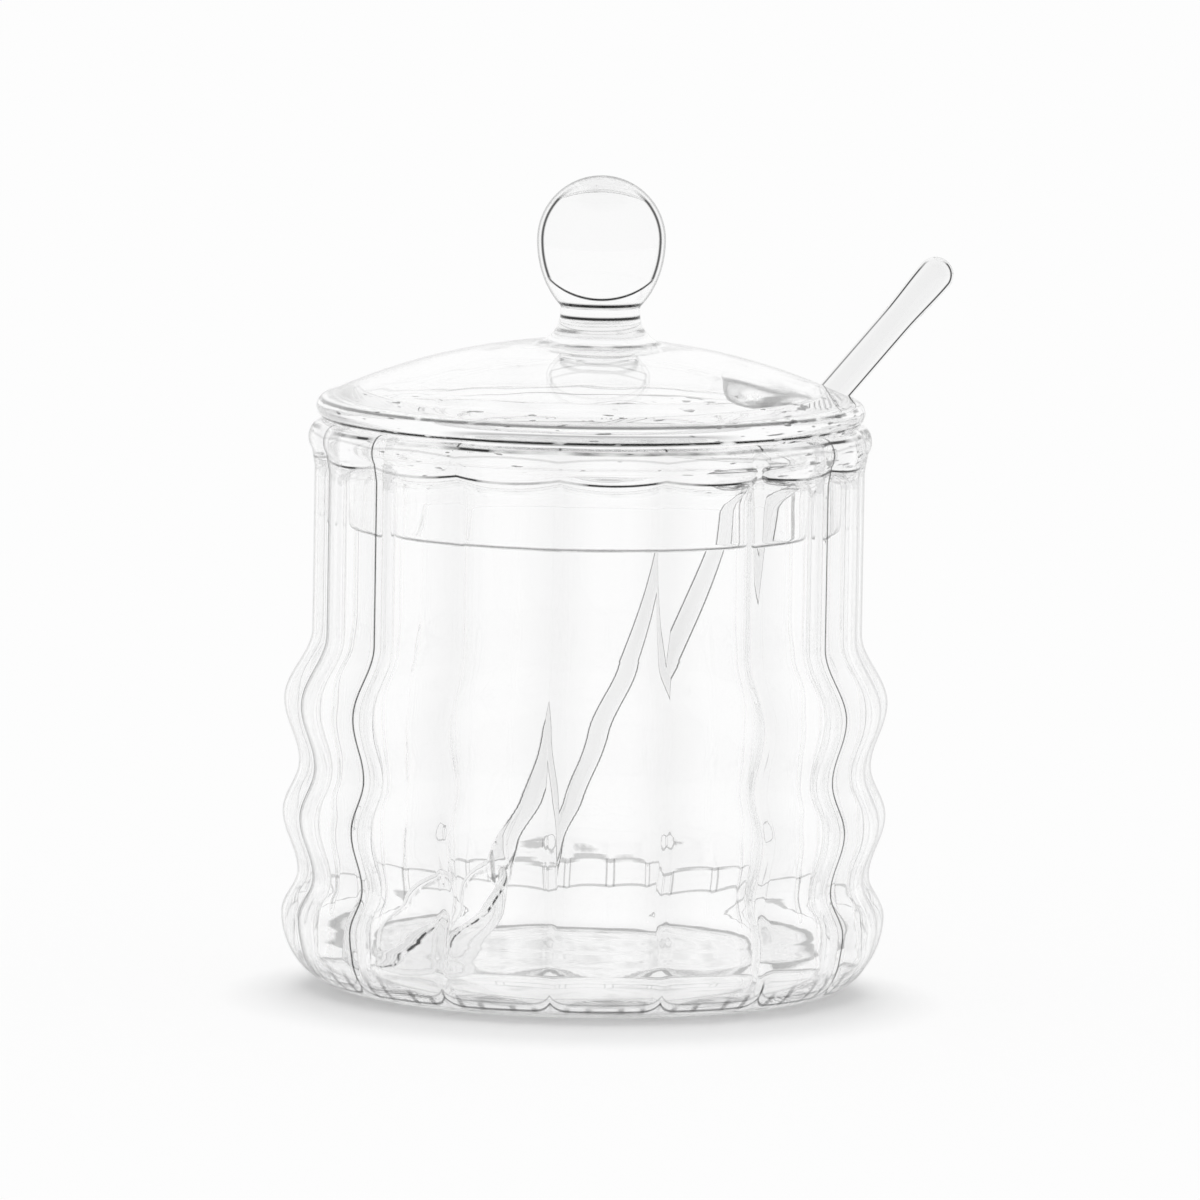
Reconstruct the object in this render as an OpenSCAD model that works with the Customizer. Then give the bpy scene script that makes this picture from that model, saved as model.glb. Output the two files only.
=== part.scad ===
// Jam pot in clear glass with a lid and a spoon.
// Millimetres. The pot stands on z = 0, its axis is Z, and the spoon leans towards +X.

/* [Pot] */
// Widest diameter, over the ripples
pot_d = 95.2; // [80:0.1:120]
// Diameter of the straight upper wall, over the lobes
wall_d = 86.4; // [74:0.1:110]
// Diameter in the valleys between the ripples, over the lobes
valley_d = 90; // [76:0.1:116]
// Diameter of the flat foot
foot_d = 75; // [56:0.5:84]
// Height of the pot to the top of its rim
pot_h = 88.9; // [80:0.1:120]
// Thickness of the floor
floor_t = 2.5; // [1.5:0.1:5]
// Thickness of the wall in the middle of a lobe
wall_t = 1.6; // [1.2:0.1:3]
// Number of upright lobes round the wall
lobes = 16; // [12:1:20]
// Radius of a lobe as seen from outside
lobe_out_r = 20; // [16:0.5:30]
// Radius of a lobe as seen from inside
lobe_in_r = 12; // [10:0.5:18]
// Turn of the grooves about the axis
lobe_turn = -4; // [-11:0.5:11]
// Height of the middle of the lowest ripple
ripple_low_z = 11.4; // [9:0.1:14]
// Height of the middle of the second ripple
ripple_mid_z = 27.3; // [24:0.1:32]
// Height of the middle of the top ripple
ripple_top_z = 45; // [40:0.1:50]
// Height at which the straight upper wall begins
straight_z = 56; // [53:0.5:64]

/* [Rolled rim] */
// How far the rim stands out from the wall
rim_out = 1.05; // [0.5:0.05:2]
// Width of the rolled rim
rim_w = 4.6; // [3.6:0.1:6]
// Height of the rolled rim
rim_h = 5.4; // [4:0.1:8]
// Depth of the lobes in the rim
rim_lobe = 0.6; // [0.2:0.1:1]

/* [Lid] */
// Diameter of the lid over its round edge
lid_d = 86; // [74:0.1:110]
// Thickness of the glass of the dome
lid_t = 2.6; // [2:0.1:4]
// Thickness of the lid's round edge
edge_d = 3.6; // [2.8:0.1:4.4]
// Radius of the dome's upper face
dome_r = 97; // [90:1:150]
// Outside diameter of the tube under the lid
skirt_d = 76.2; // [60:0.1:78]
// Wall of the tube under the lid
skirt_t = 2; // [1.4:0.1:3]
// Depth of the tube's lower end below the rim
skirt_drop = 16.5; // [8:0.1:24]
// Width of the slot that lets the spoon out
notch_w = 10; // [8:0.5:14]
// Distance from the axis to the round inner end of the slot
notch_in = 33; // [30:0.5:34]

/* [Knob] */
// Diameter of the ball
ball_d = 20.2; // [16:0.1:26]
// Diameter of the neck
neck_d = 12.5; // [9:0.1:15]
// Diameter of the neck's flared foot
flare_d = 22.4; // [18:0.1:24]
// Height of the ball's middle over its foot
ball_lift = 16.4; // [16:0.1:21]
// How far the knob stands off the middle of the lid, as it was set by hand
knob_off = 1.2; // [0:0.1:2]

/* [Spoon] */
// Diameter of the rod
rod_d = 5; // [4:0.1:6]
// Diameter of the rounded end of the rod
end_d = 5.7; // [5:0.1:7]
// Slope of the handle where it rests on the rim
handle_slope = 47.5; // [44:0.5:52]
// Diameter of the handle, a little drawn out
handle_d = 4.9; // [3.9:0.1:5.8]
// Length of the handle beyond the rim
handle_l = 29; // [20:0.5:50]
// Diameter of the bead of glass that holds the rod to the bowl
heel_d = 6.4; // [5.6:0.1:8]
// Diameter of the bowl over its rim
bowl_d = 28; // [22:0.5:32]
// Depth of the bowl, outside
bowl_deep = 9.6; // [7:0.1:12]
// Thickness of the bowl
bowl_t = 2; // [1.4:0.1:2.6]
// Slope of the bowl's rim
bowl_slope = 31.5; // [26:0.5:36]
// Distance of the bowl's heel from the pot's axis, on the side away from the handle
heel_in = 13.73; // [8:0.01:18]

/* [Fits] */
// Gap between the lid and the rim it rests on
rest_gap = 0.2; // [0.15:0.05:0.4]
// Gap between the spoon and the glass it rests on
spoon_gap = 0.2; // [0.15:0.05:0.4]

/* [Hidden] */
// Every piece, in the order in which they are put together
// The piece to make, or all of them
$fn = 64;

// Tints of the pieces
pot_tint = [0.86, 0.93, 0.95, 0.5];
lid_tint = [0.80, 0.90, 0.93, 0.6];
knob_tint = [0.74, 0.87, 0.91, 0.7];
spoon_tint = [0.70, 0.84, 0.88, 0.8];

// Steps of the lofted wall: points to a lobe, and rings to half a ripple
lobe_steps = 4;
half_steps = 4;
turn_steps = lobes * lobe_steps;

// Heights of the lowest points between the ripples
valley_low_z = (ripple_low_z + ripple_mid_z) / 2 - 1.6;
valley_mid_z = (ripple_mid_z + ripple_top_z) / 2 - 1.1;

// Section of the rolled rim, over the middle of a lobe
rim_mid_r = wall_d / 2 + rim_out - rim_w / 2;
rim_mid_z = pot_h - rim_h / 2;
rim_base_z = pot_h - rim_h + 0.4;

// Radius of the outside over the middle of a lobe, from one height to the next
function ease(a, b, t) = a + (b - a) * (1 - cos(180 * t)) / 2;
function part_of(z, z0, z1) = (z - z0) / (z1 - z0);
function crest_r(z) =
    z < ripple_low_z ? foot_d / 2 + (pot_d - foot_d) / 2 * sqrt(1 - pow(1 - z / ripple_low_z, 2)) :
    z < valley_low_z ? ease(pot_d, valley_d, part_of(z, ripple_low_z, valley_low_z)) / 2 :
    z < ripple_mid_z ? ease(valley_d, pot_d, part_of(z, valley_low_z, ripple_mid_z)) / 2 :
    z < valley_mid_z ? ease(pot_d, valley_d, part_of(z, ripple_mid_z, valley_mid_z)) / 2 :
    z < ripple_top_z ? ease(valley_d, pot_d, part_of(z, valley_mid_z, ripple_top_z)) / 2 :
    z < straight_z ? ease(pot_d, wall_d, part_of(z, ripple_top_z, straight_z)) / 2 :
    wall_d / 2;

// How much a lobe has fallen away from its crest at an angle from its middle
function lobe_fall(crest, lobe_r, angle) =
    let (c = crest - lobe_r)
    crest - c * cos(angle) - sqrt(lobe_r * lobe_r - pow(c * sin(angle), 2));
function lobe_angle(i) = 180 / lobes * (2 * (i % lobe_steps) / lobe_steps - 1);
function point_angle(i) = lobe_turn + 360 * i / turn_steps;

// Share of a lobe's full depth, which fades out towards the foot
function fade(z) = min(1, z / (ripple_low_z * 0.7));

// Rings of the loft: [crest radius, height, lobe radius, share of the lobe's depth]
function rings_between(z0, z1, inside) = [for (k = [0 : half_steps - 1])
    let (z = z0 + (z1 - z0) * k / half_steps)
    inside ? [crest_r(z) - wall_t, z, lobe_in_r, 1] : [crest_r(z), z, lobe_out_r, fade(z)]];
foot_rings = [for (k = [0 : half_steps])
    let (z = ripple_low_z * (1 - cos(90 * k / (half_steps + 1))))
    [crest_r(z), z, lobe_out_r, fade(z)]];
outer_rings = concat(
    foot_rings,
    rings_between(ripple_low_z, valley_low_z, false),
    rings_between(valley_low_z, ripple_mid_z, false),
    rings_between(ripple_mid_z, valley_mid_z, false),
    rings_between(valley_mid_z, ripple_top_z, false),
    rings_between(ripple_top_z, straight_z, false),
    [[wall_d / 2, straight_z, lobe_out_r, 1], [wall_d / 2, rim_base_z, lobe_out_r, 1]]);

// The rolled rim goes over the top from the outside to the inside
rim_fall = lobe_fall(wall_d / 2, lobe_out_r, 180 / lobes);
rim_share = rim_lobe / rim_fall;
rim_rings = [for (a = [-40 : 26 : 220])
    [rim_mid_r + rim_w / 2 * cos(a), rim_mid_z + rim_h / 2 * sin(a), lobe_out_r, rim_share]];

// The inside comes down to the floor with a rounded corner
corner_z = floor_t + 6;
corner_r = crest_r(corner_z) - wall_t;
corner_in = 7;
inner_rings = concat(
    [[wall_d / 2 - wall_t, rim_base_z - 1.6, lobe_in_r, 1], [wall_d / 2 - wall_t, straight_z, lobe_in_r, 1]],
    reversed(concat(
        rings_between(ripple_low_z, valley_low_z, true),
        rings_between(valley_low_z, ripple_mid_z, true),
        rings_between(ripple_mid_z, valley_mid_z, true),
        rings_between(valley_mid_z, ripple_top_z, true),
        rings_between(ripple_top_z, straight_z, true))),
    [for (k = [0 : half_steps])
        let (a = 90 * k / half_steps)
        [corner_r - corner_in * (1 - cos(a)), corner_z - (corner_z - floor_t) * sin(a), lobe_in_r, 1 - 0.5 * sin(a)]]);
function reversed(list) = [for (k = [len(list) - 1 : -1 : 0]) list[k]];

pot_rings = concat(outer_rings, rim_rings, inner_rings);
pot_points = [for (ring = pot_rings, i = [0 : turn_steps - 1])
    let (r = ring[0] - ring[3] * lobe_fall(ring[0], ring[2], lobe_angle(i)), a = point_angle(i))
    [r * cos(a), r * sin(a), ring[1]]];
pot_faces = concat(
    [[for (i = [0 : turn_steps - 1]) i]],
    [for (k = [0 : len(pot_rings) - 2], i = [0 : turn_steps - 1])
        let (j = (i + 1) % turn_steps, a = k * turn_steps, b = a + turn_steps)
        each [[a + i, b + i, b + j], [a + i, b + j, a + j]]],
    [[for (i = [turn_steps - 1 : -1 : 0]) (len(pot_rings) - 1) * turn_steps + i]]);

// The rim where the spoon rests on it
spoon_lobe_angle = ((-lobe_turn % (360 / lobes)) + 360 / lobes) % (360 / lobes) - 180 / lobes;
rest_r = rim_mid_r - rim_share * lobe_fall(wall_d / 2, lobe_out_r, spoon_lobe_angle);
rim_reach = sqrt(pow(rim_w / 2 * sin(handle_slope), 2) + pow(rim_h / 2 * cos(handle_slope), 2));
rest_off = handle_d / 2 + rim_reach + spoon_gap;
// The point of the handle's axis that is nearest to the rim
axis_x = rest_r - rest_off * sin(handle_slope);
axis_z = rim_mid_z + rest_off * cos(handle_slope);

// The rod is bent just inside the rim
bend_off = 3;
bend_x = axis_x - bend_off * cos(handle_slope);
bend_z = axis_z - bend_off * sin(handle_slope);

// The bowl: its sphere through the middle of the glass, and where its heel lies on the rod
bowl_rim_r = (bowl_d - bowl_t) / 2;
bowl_dip = bowl_deep - bowl_t;
bowl_r = (pow(bowl_rim_r, 2) + pow(bowl_dip, 2)) / (2 * bowl_dip);
bowl_rise = bowl_r - bowl_dip;
bowl_z = floor_t + spoon_gap + bowl_r + bowl_t / 2;
heel_z = bowl_z + bowl_rim_r * sin(bowl_slope) - bowl_rise * cos(bowl_slope);
heel_x = -heel_in;
bowl_x = heel_x - bowl_rim_r * cos(bowl_slope) - bowl_rise * sin(bowl_slope);
// The rod's lower part runs from the heel to the bend, a little steeper than the handle
rod_slope = atan2(bend_z - heel_z, bend_x - heel_x);
rod_bend = rod_slope - handle_slope;
// Lengths along the rod, from the heel to the joint and to the bend
stub_l = 7;
bend_at = (bend_z - heel_z) / sin(rod_slope);

// The lid: its round edge, and the dome's spheres, which start from the top of the edge
edge_r = edge_d / 2;
edge_x = lid_d / 2 - edge_r;
edge_z = pot_h + rest_gap + edge_r;
edge_angle = asin(edge_x / dome_r);
dome_z = edge_z + edge_r - dome_r * cos(edge_angle);
under_r = dome_r - lid_t;
// The flat lands on which the tube and the knob are fused
skirt_top = dome_z + sqrt(under_r * under_r - pow(skirt_d / 2, 2));
skirt_low = pot_h - skirt_drop;
knob_z = dome_z + sqrt(dome_r * dome_r - pow(flare_d / 2 + knob_off, 2));
// The side of the lid towards which the knob stands off
knob_turn = -20;
slot_mid = notch_in + notch_w / 2;

// Upright U of the slot, cut through the dome and the tube
module slot() {
    translate([slot_mid, 0, skirt_low - 1])
        cylinder(d = notch_w, h = dome_z + dome_r - skirt_low);
    translate([slot_mid, -notch_w / 2, skirt_low - 1])
        cube([lid_d, notch_w, dome_z + dome_r - skirt_low]);
}

// Pot: lofted wall on a round floor
module pot() {
    color(pot_tint)
        union() {
            polyhedron(pot_points, pot_faces, convexity = 6);
            cylinder(d = foot_d * 0.9, h = floor_t);
        }
}

// Lid plate: a shell between two spheres with a round edge
module lid_dome() {
    far = 1.3 * dome_r;
    color(lid_tint)
        difference() {
            rotate_extrude()
                union() {
                    intersection() {
                        difference() {
                            translate([0, dome_z])
                                circle(r = dome_r, $fn = 360);
                            translate([0, dome_z])
                                circle(r = under_r, $fn = 360);
                        }
                        polygon([[0, dome_z], [far * sin(edge_angle), dome_z + far * cos(edge_angle)], [0, dome_z + far]]);
                        square([dome_r, knob_z]);
                    }
                    translate([edge_x, edge_z])
                        circle(r = edge_r);
                    translate([skirt_d / 2 - skirt_t, skirt_top])
                        square([skirt_t, edge_r]);
                }
            slot();
        }
}

// Tube under the lid, open where the slot passes
module lid_skirt() {
    color(lid_tint)
        difference() {
            translate([0, 0, skirt_low])
                cylinder(d = skirt_d, h = skirt_top - skirt_low, $fn = 128);
            translate([0, 0, skirt_low - 1])
                cylinder(d = skirt_d - 2 * skirt_t, h = skirt_top - skirt_low + 2, $fn = 128);
            slot();
        }
}

// Knob: ball, tapered shoulder, neck and flared foot, all one solid
module lid_knob() {
    shoulder_z = ball_lift - ball_d * 0.23;
    shoulder_r = sqrt(pow(ball_d / 2, 2) - pow(ball_d * 0.23, 2));
    flare_r = (flare_d - neck_d) / 2;
    color(knob_tint)
        translate([knob_off * cos(knob_turn), knob_off * sin(knob_turn), knob_z])
            rotate_extrude()
                union() {
                    intersection() {
                        translate([0, ball_lift])
                            circle(d = ball_d);
                        square([ball_d, ball_lift + ball_d]);
                    }
                    polygon([[0, 0], [neck_d / 2, 0], [neck_d / 2, ball_lift - ball_d * 0.515], [shoulder_r, shoulder_z], [0, shoulder_z]]);
                    difference() {
                        square([flare_d / 2, flare_r]);
                        translate([flare_d / 2, flare_r])
                            circle(r = flare_r);
                    }
                }
}

// Puts a piece on the rod's axis: z along the rod, up from the heel
module on_rod() {
    translate([heel_x, 0, heel_z])
        rotate([0, 90 - rod_slope, 0])
            children();
}

// Straight round bar with a ball on its upper end
module bar(d, length, ball) {
    rotate_extrude($fn = 48)
        union() {
            square([d / 2, length]);
            intersection() {
                translate([0, length])
                    circle(d = ball, $fn = 48);
                square([ball, length + ball]);
            }
        }
}

// Rod: straight up to the bend, then the handle with its rounded end
module spoon_rod() {
    color(spoon_tint)
        on_rod()
            union() {
                translate([0, 0, stub_l])
                    bar(rod_d, bend_at - stub_l, rod_d);
                translate([0, 0, bend_at])
                    rotate([0, rod_bend, 0])
                        bar(handle_d, bend_off + handle_l, end_d);
            }
}

// Bowl: a cap of a spherical shell, and a short stub that takes the rod
module spoon_bowl() {
    out_r = bowl_r + bowl_t / 2;
    color(spoon_tint)
        difference() {
            union() {
                translate([bowl_x, 0, bowl_z])
                    rotate([0, -bowl_slope, 0])
                        rotate_extrude($fn = 72)
                            intersection() {
                                circle(r = out_r, $fn = 72);
                                translate([0, -2 * out_r])
                                    square([2 * out_r, 2 * out_r - bowl_rise]);
                            }
                on_rod() {
                    sphere(d = heel_d, $fn = 48);
                    cylinder(d = rod_d, h = stub_l, $fn = 48);
                }
            }
            translate([bowl_x, 0, bowl_z])
                sphere(r = bowl_r - bowl_t / 2, $fn = 72);
        }
}

pot();
lid_dome();
lid_skirt();
lid_knob();
spoon_rod();
spoon_bowl();
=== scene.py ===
# %% [markdown]
# A jam pot of clear glass stands on a white table, with its lid on and its spoon leaning out of a slot. The
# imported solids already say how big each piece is, where it sits and how it moves, so they are loaded first,
# as a fixed frame. The lesson then models the glass in their place and lights it as for a catalogue.

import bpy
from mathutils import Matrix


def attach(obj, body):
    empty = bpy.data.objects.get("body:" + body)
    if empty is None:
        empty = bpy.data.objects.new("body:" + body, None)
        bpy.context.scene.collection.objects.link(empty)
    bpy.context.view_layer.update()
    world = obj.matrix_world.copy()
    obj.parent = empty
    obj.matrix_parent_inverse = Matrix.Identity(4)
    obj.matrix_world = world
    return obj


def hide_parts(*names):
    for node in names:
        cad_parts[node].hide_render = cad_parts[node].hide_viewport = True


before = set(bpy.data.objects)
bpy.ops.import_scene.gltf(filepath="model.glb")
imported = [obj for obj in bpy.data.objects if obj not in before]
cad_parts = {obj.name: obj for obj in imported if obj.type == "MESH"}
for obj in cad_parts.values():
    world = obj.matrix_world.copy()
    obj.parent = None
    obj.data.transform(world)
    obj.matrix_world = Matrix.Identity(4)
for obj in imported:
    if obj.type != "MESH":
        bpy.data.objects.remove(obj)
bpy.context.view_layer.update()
print("packed solids:", ", ".join(sorted(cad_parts)))

# %% [markdown]
# The picture was taken from far away with a long lens, a little above the rim, with the camera a touch
# askew. A long lens keeps the left and right walls nearly parallel. The spoon lies in the plane y = 0, and
# the camera stands 20 degrees to one side of that plane's normal, so its place is turned by that angle.

# %% Camera
import math
from types import SimpleNamespace

import bpy
from mathutils import Matrix, Vector
from mathutils.kdtree import KDTree

MM = 0.001
CAMERA_TURN = math.radians(-20.2)
CAMERA_ROLL = math.radians(0.95)
EYE_MM = (1.9, -2285, 321)
AIM_MM = (1.9, 0, 60.8)
LENS_MM = 440
SENSOR_MM = 36
FAR_M = 50

turn = Matrix.Rotation(CAMERA_TURN, 3, "Z")
eye = turn @ Vector(EYE_MM) * MM
aim = turn @ Vector(AIM_MM) * MM
bpy.ops.object.camera_add(location=eye)
camera = bpy.context.object
camera.name = "camera"
look = (aim - eye).to_track_quat("-Z", "Y").to_matrix()
camera.rotation_euler = (look @ Matrix.Rotation(CAMERA_ROLL, 3, "Z")).to_euler()
camera.data.lens = LENS_MM
camera.data.sensor_width = SENSOR_MM
camera.data.clip_end = FAR_M
bpy.context.scene.camera = camera
print("camera at", [round(value, 3) for value in eye])

# %% [markdown]
# Every piece here is turned glass: a section goes round the upright axis. A mesh could be typed in point by
# point, but a maker draws the section once and spins it. The helper starts from a circle primitive, because
# a circle is a closed chain of points, lays that chain along the section, and spins it in edit mode.

# %% Spin a section about the axis
START_R_MM = 10
MERGE_MM = 0.002


def spin_section(name, section, steps, start=0.0):
    """A closed section of (radius, height) points in mm, spun about Z from the angle start in degrees."""
    bpy.ops.object.select_all(action="DESELECT")
    bpy.ops.mesh.primitive_circle_add(vertices=len(section), radius=START_R_MM * MM)
    piece = bpy.context.object
    piece.name = name
    piece.data.name = name
    across = math.cos(math.radians(start))
    along = math.sin(math.radians(start))
    for vertex, point in zip(piece.data.vertices, section):
        vertex.co = (point[0] * across * MM, point[0] * along * MM, point[1] * MM)
    bpy.ops.object.mode_set(mode="EDIT")
    bpy.ops.mesh.select_all(action="SELECT")
    bpy.ops.mesh.spin(steps=steps, angle=math.tau, center=(0, 0, 0), axis=(0, 0, 1))
    bpy.ops.mesh.select_all(action="SELECT")
    bpy.ops.mesh.remove_doubles(threshold=MERGE_MM * MM)
    bpy.ops.mesh.delete_loose()
    bpy.ops.mesh.select_all(action="SELECT")
    bpy.ops.mesh.normals_make_consistent(inside=False)
    bpy.ops.object.mode_set(mode="OBJECT")
    bpy.ops.object.shade_smooth()
    return piece


def describe(piece):
    """Prints a piece's size, for the reader."""
    size = [round(value / MM, 1) for value in piece.dimensions]
    print(piece.name, size, "mm,", len(piece.data.polygons), "faces")


print("sections are merged at", MERGE_MM, "mm")

# %% [markdown]
# The pot was blown into a ribbed mould: sixteen upright lobes, like the sections of an orange, and three
# soft ripples round its lower half. Its wall is thin in the middle of a lobe and thicker in the grooves.
# First comes the outside over the middle of a lobe, as a formula of the height: a quarter of an ellipse at
# the foot, then soft waves from ripple to ripple, then straight up. The sizes are those of the packed
# solid.

# %% Outside of the pot
# A hair less than the solid's 95.2, because the solid's flat facets lie inside the true curve
POT_D = 94.94
WALL_D = 86.4
VALLEY_D = 90.0
FOOT_D = 75.0
RIPPLE_LOW_Z = 11.4
RIPPLE_MID_Z = 27.3
RIPPLE_TOP_Z = 45.0
STRAIGHT_Z = 56.0
VALLEY_LOW_DROP = 1.6
VALLEY_MID_DROP = 1.1
VALLEY_LOW_Z = (RIPPLE_LOW_Z + RIPPLE_MID_Z) / 2 - VALLEY_LOW_DROP
VALLEY_MID_Z = (RIPPLE_MID_Z + RIPPLE_TOP_Z) / 2 - VALLEY_MID_DROP


def crest(height):
    """Radius of the outside over the middle of a lobe."""
    stops = [
        (RIPPLE_LOW_Z, POT_D),
        (VALLEY_LOW_Z, VALLEY_D),
        (RIPPLE_MID_Z, POT_D),
        (VALLEY_MID_Z, VALLEY_D),
        (RIPPLE_TOP_Z, POT_D),
        (STRAIGHT_Z, WALL_D),
    ]
    if height <= RIPPLE_LOW_Z:
        rise = 1 - height / RIPPLE_LOW_Z
        return FOOT_D / 2 + (POT_D - FOOT_D) / 2 * math.sqrt(1 - rise * rise)
    for (low, wide), (high, next_wide) in zip(stops, stops[1:]):
        if height <= high:
            share = (1 - math.cos(math.pi * (height - low) / (high - low))) / 2
            return (wide + (next_wide - wide) * share) / 2
    return WALL_D / 2


print("pot is", round(2 * crest(RIPPLE_MID_Z), 1), "mm wide at its middle ripple")

# %% [markdown]
# The whole section runs from the middle of the underside up the outside, over the rolled rim, down the
# inside and back to the middle of the floor. It has many more points than the solid's, because clear glass
# shows every facet twice: once as a highlight and once as a kink in what is seen through it. The lobes of
# the inside are tighter than those of the outside. That bends light, and breaks the spoon's rod into a
# zigzag.

# %% Section of the pot
POT_H = 88.9
FLOOR_T = 2.5
WALL_T = 1.6
RIM_W = 4.6
RIM_H = 5.4
RIM_PROUD = 1.05
RIM_R = WALL_D / 2 + RIM_PROUD - RIM_W / 2
RIM_Z = POT_H - RIM_H / 2
RIM_SHARE = 0.96
RIM_JOIN_OUT = 0.4
RIM_JOIN_IN = 1.2
LOBE_OUT_R = 20.0
LOBE_IN_R = 12.0
LOBE_FULL_AT = 0.7
RIPPLE_RINGS = 60
WALL_RINGS = 12
PUNT = 0.4
UNDERSIDE_R = 35
UNDERSIDE_RINGS = (0, 8, 16, 24, 30, 34)
FLOOR_RINGS = (30, 20, 10, 0)
INNER_CORNER_Z = FLOOR_T + 6
INNER_CORNER_R = crest(INNER_CORNER_Z) - WALL_T
INNER_CORNER_IN = 7.0
INNER_CORNER_FADE = 0.5
# Angles in degrees at which the round parts of the section have points
FOOT_ANGLES = range(0, 90, 5)
RIM_ANGLES = range(-40, 221, 10)
INNER_CORNER_ANGLES = range(0, 91, 9)


def steps_between(low, high, count):
    """Evenly spaced values from low to just before high."""
    return [low + (high - low) * step / count for step in range(count)]


def fade(height):
    """Share of a lobe's depth, which dies away towards the foot."""
    return min(1.0, height / (RIPPLE_LOW_Z * LOBE_FULL_AT))


# Each ring is (crest radius, height, radius of a lobe, share of its depth)
rings = []
for radius in UNDERSIDE_RINGS:
    rings.append((radius, PUNT * (1 - (radius / UNDERSIDE_R) ** 2), LOBE_OUT_R, 0.0))
for angle in FOOT_ANGLES:
    height = RIPPLE_LOW_Z * (1 - math.cos(math.radians(angle)))
    rings.append((crest(height), height, LOBE_OUT_R, fade(height)))
for height in steps_between(RIPPLE_LOW_Z, STRAIGHT_Z, RIPPLE_RINGS):
    rings.append((crest(height), height, LOBE_OUT_R, 1.0))
for height in steps_between(STRAIGHT_Z, POT_H - RIM_H + RIM_JOIN_OUT, WALL_RINGS):
    rings.append((crest(height), height, LOBE_OUT_R, 1.0))
for angle in RIM_ANGLES:
    aside = RIM_W / 2 * math.cos(math.radians(angle))
    up = RIM_H / 2 * math.sin(math.radians(angle))
    rings.append((RIM_R + aside, RIM_Z + up, LOBE_OUT_R, RIM_SHARE))
for height in steps_between(POT_H - RIM_H - RIM_JOIN_IN, STRAIGHT_Z, WALL_RINGS):
    rings.append((crest(height) - WALL_T, height, LOBE_IN_R, 1.0))
for height in steps_between(STRAIGHT_Z, INNER_CORNER_Z, RIPPLE_RINGS):
    rings.append((crest(height) - WALL_T, height, LOBE_IN_R, 1.0))
for angle in INNER_CORNER_ANGLES:
    bend = math.radians(angle)
    radius = INNER_CORNER_R - INNER_CORNER_IN * (1 - math.cos(bend))
    height = INNER_CORNER_Z - (INNER_CORNER_Z - FLOOR_T) * math.sin(bend)
    rings.append((radius, height, LOBE_IN_R, 1 - INNER_CORNER_FADE * math.sin(bend)))
for radius in FLOOR_RINGS:
    rings.append((radius, FLOOR_T, LOBE_IN_R, 0.0))
print("section of the pot:", len(rings), "points")

# %% [markdown]
# Spun, the section is a plain rippled jar. The lobes are then pressed in: each point moves towards the axis
# by what a lobe of that radius has fallen away from its crest there. No edit-mode tool presses a formula
# into a wall, so the points are moved in code, ring by ring, and the grooves lie on the spin's own steps.
# Two attributes note where a point lies across its lobe and whether it is outside, for the glass to read
# later.

# %% Pot: spin, then press in the lobes
LOBES = 16
LOBE_STEP = 360 / LOBES
LOBE_TURN = -4.0
STEPS_A_LOBE = 16


def lobe_fall(radius, lobe_radius, angle):
    """How far a lobe has fallen away from its crest at an angle in degrees from its middle."""
    middle = radius - lobe_radius
    bend = math.radians(angle)
    return radius - middle * math.cos(bend) - math.sqrt(lobe_radius ** 2 - (middle * math.sin(bend)) ** 2)


def press_lobes(piece, rings):
    """Moves every point in by the fall of the lobe at its ring, and notes its place across that lobe."""
    finder = KDTree(len(rings))
    for number, ring in enumerate(rings):
        finder.insert((ring[0] * MM, 0, ring[1] * MM), number)
    finder.balance()
    across = piece.data.attributes.new("across", "FLOAT", "POINT")
    outside = piece.data.attributes.new("outside", "FLOAT", "POINT")
    for vertex in piece.data.vertices:
        reach = math.hypot(vertex.co.x, vertex.co.y)
        radius, height, lobe_radius, share = rings[finder.find((reach, 0, vertex.co.z))[1]]
        outside.data[vertex.index].value = float(lobe_radius == LOBE_OUT_R)
        if radius == 0:
            continue
        turned = math.degrees(math.atan2(vertex.co.y, vertex.co.x)) - LOBE_TURN
        off_middle = turned % LOBE_STEP - LOBE_STEP / 2
        fall = share * lobe_fall(radius, lobe_radius, off_middle)
        vertex.co.x *= 1 - fall / radius
        vertex.co.y *= 1 - fall / radius
        across.data[vertex.index].value = abs(off_middle) * 2 / LOBE_STEP


pot = spin_section("pot_wall", rings, LOBES * STEPS_A_LOBE, LOBE_TURN)
press_lobes(pot, rings)
describe(pot)

# %% [markdown]
# The lid is three pieces of glass melted into one: a domed plate with a fire-polished edge, a tube under it
# that keeps it from sliding off, and a ball on a short neck. Where they meet, the glass has run into small
# fillets. One closed section holds all of it, so no wall is left inside the glass to catch the light.

# %% Sizes of the lid
LID_D = 86.0
LID_T = 2.6
EDGE_D = 3.6
DOME_R = 97.0
SKIRT_D = 76.2
SKIRT_T = 2.0
SKIRT_LOW = POT_H - 16.5
BALL_D = 20.2
NECK_D = 12.5
FLARE_D = 22.4
BALL_LIFT = 16.4
KNOB_OFF = 1.2
LID_REST = 0.2
NECK_UNDER_BALL = 0.515

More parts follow.
